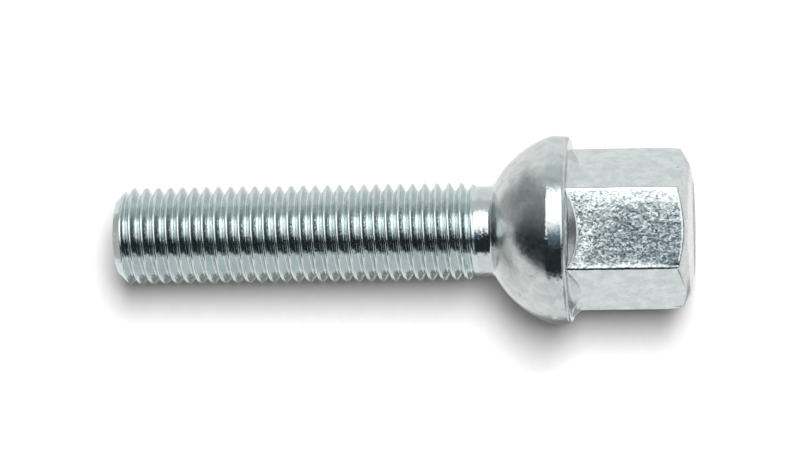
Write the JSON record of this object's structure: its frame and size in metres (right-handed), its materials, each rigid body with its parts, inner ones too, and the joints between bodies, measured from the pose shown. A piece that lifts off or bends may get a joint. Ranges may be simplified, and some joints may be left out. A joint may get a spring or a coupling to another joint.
{
  "type": "wheel bolt",
  "caption": "One-piece ball-seat wheel bolt with a hexagon head, a round collar, a spherical seat, a plain neck and a metric thread with a chamfered tip, bright zinc plated.",
  "frame": {"origin": "centre of the flat end face of the head, on which the bolt stands", "axes": "+Z along the bolt's axis, from the head up the shank to the tip; -Y and +Y square to two opposite flats of the hexagon; corners of the hexagon on the X axis"},
  "size_m": [0.0228, 0.0228, 0.0705],
  "materials": {
    "zinc_plated_steel": "bright blue-white zinc plating over rolled and forged steel, satin"
  },
  "bodies": {
    "root": {"wheel_bolt": "zinc_plated_steel"}
  },
  "joints": []
}
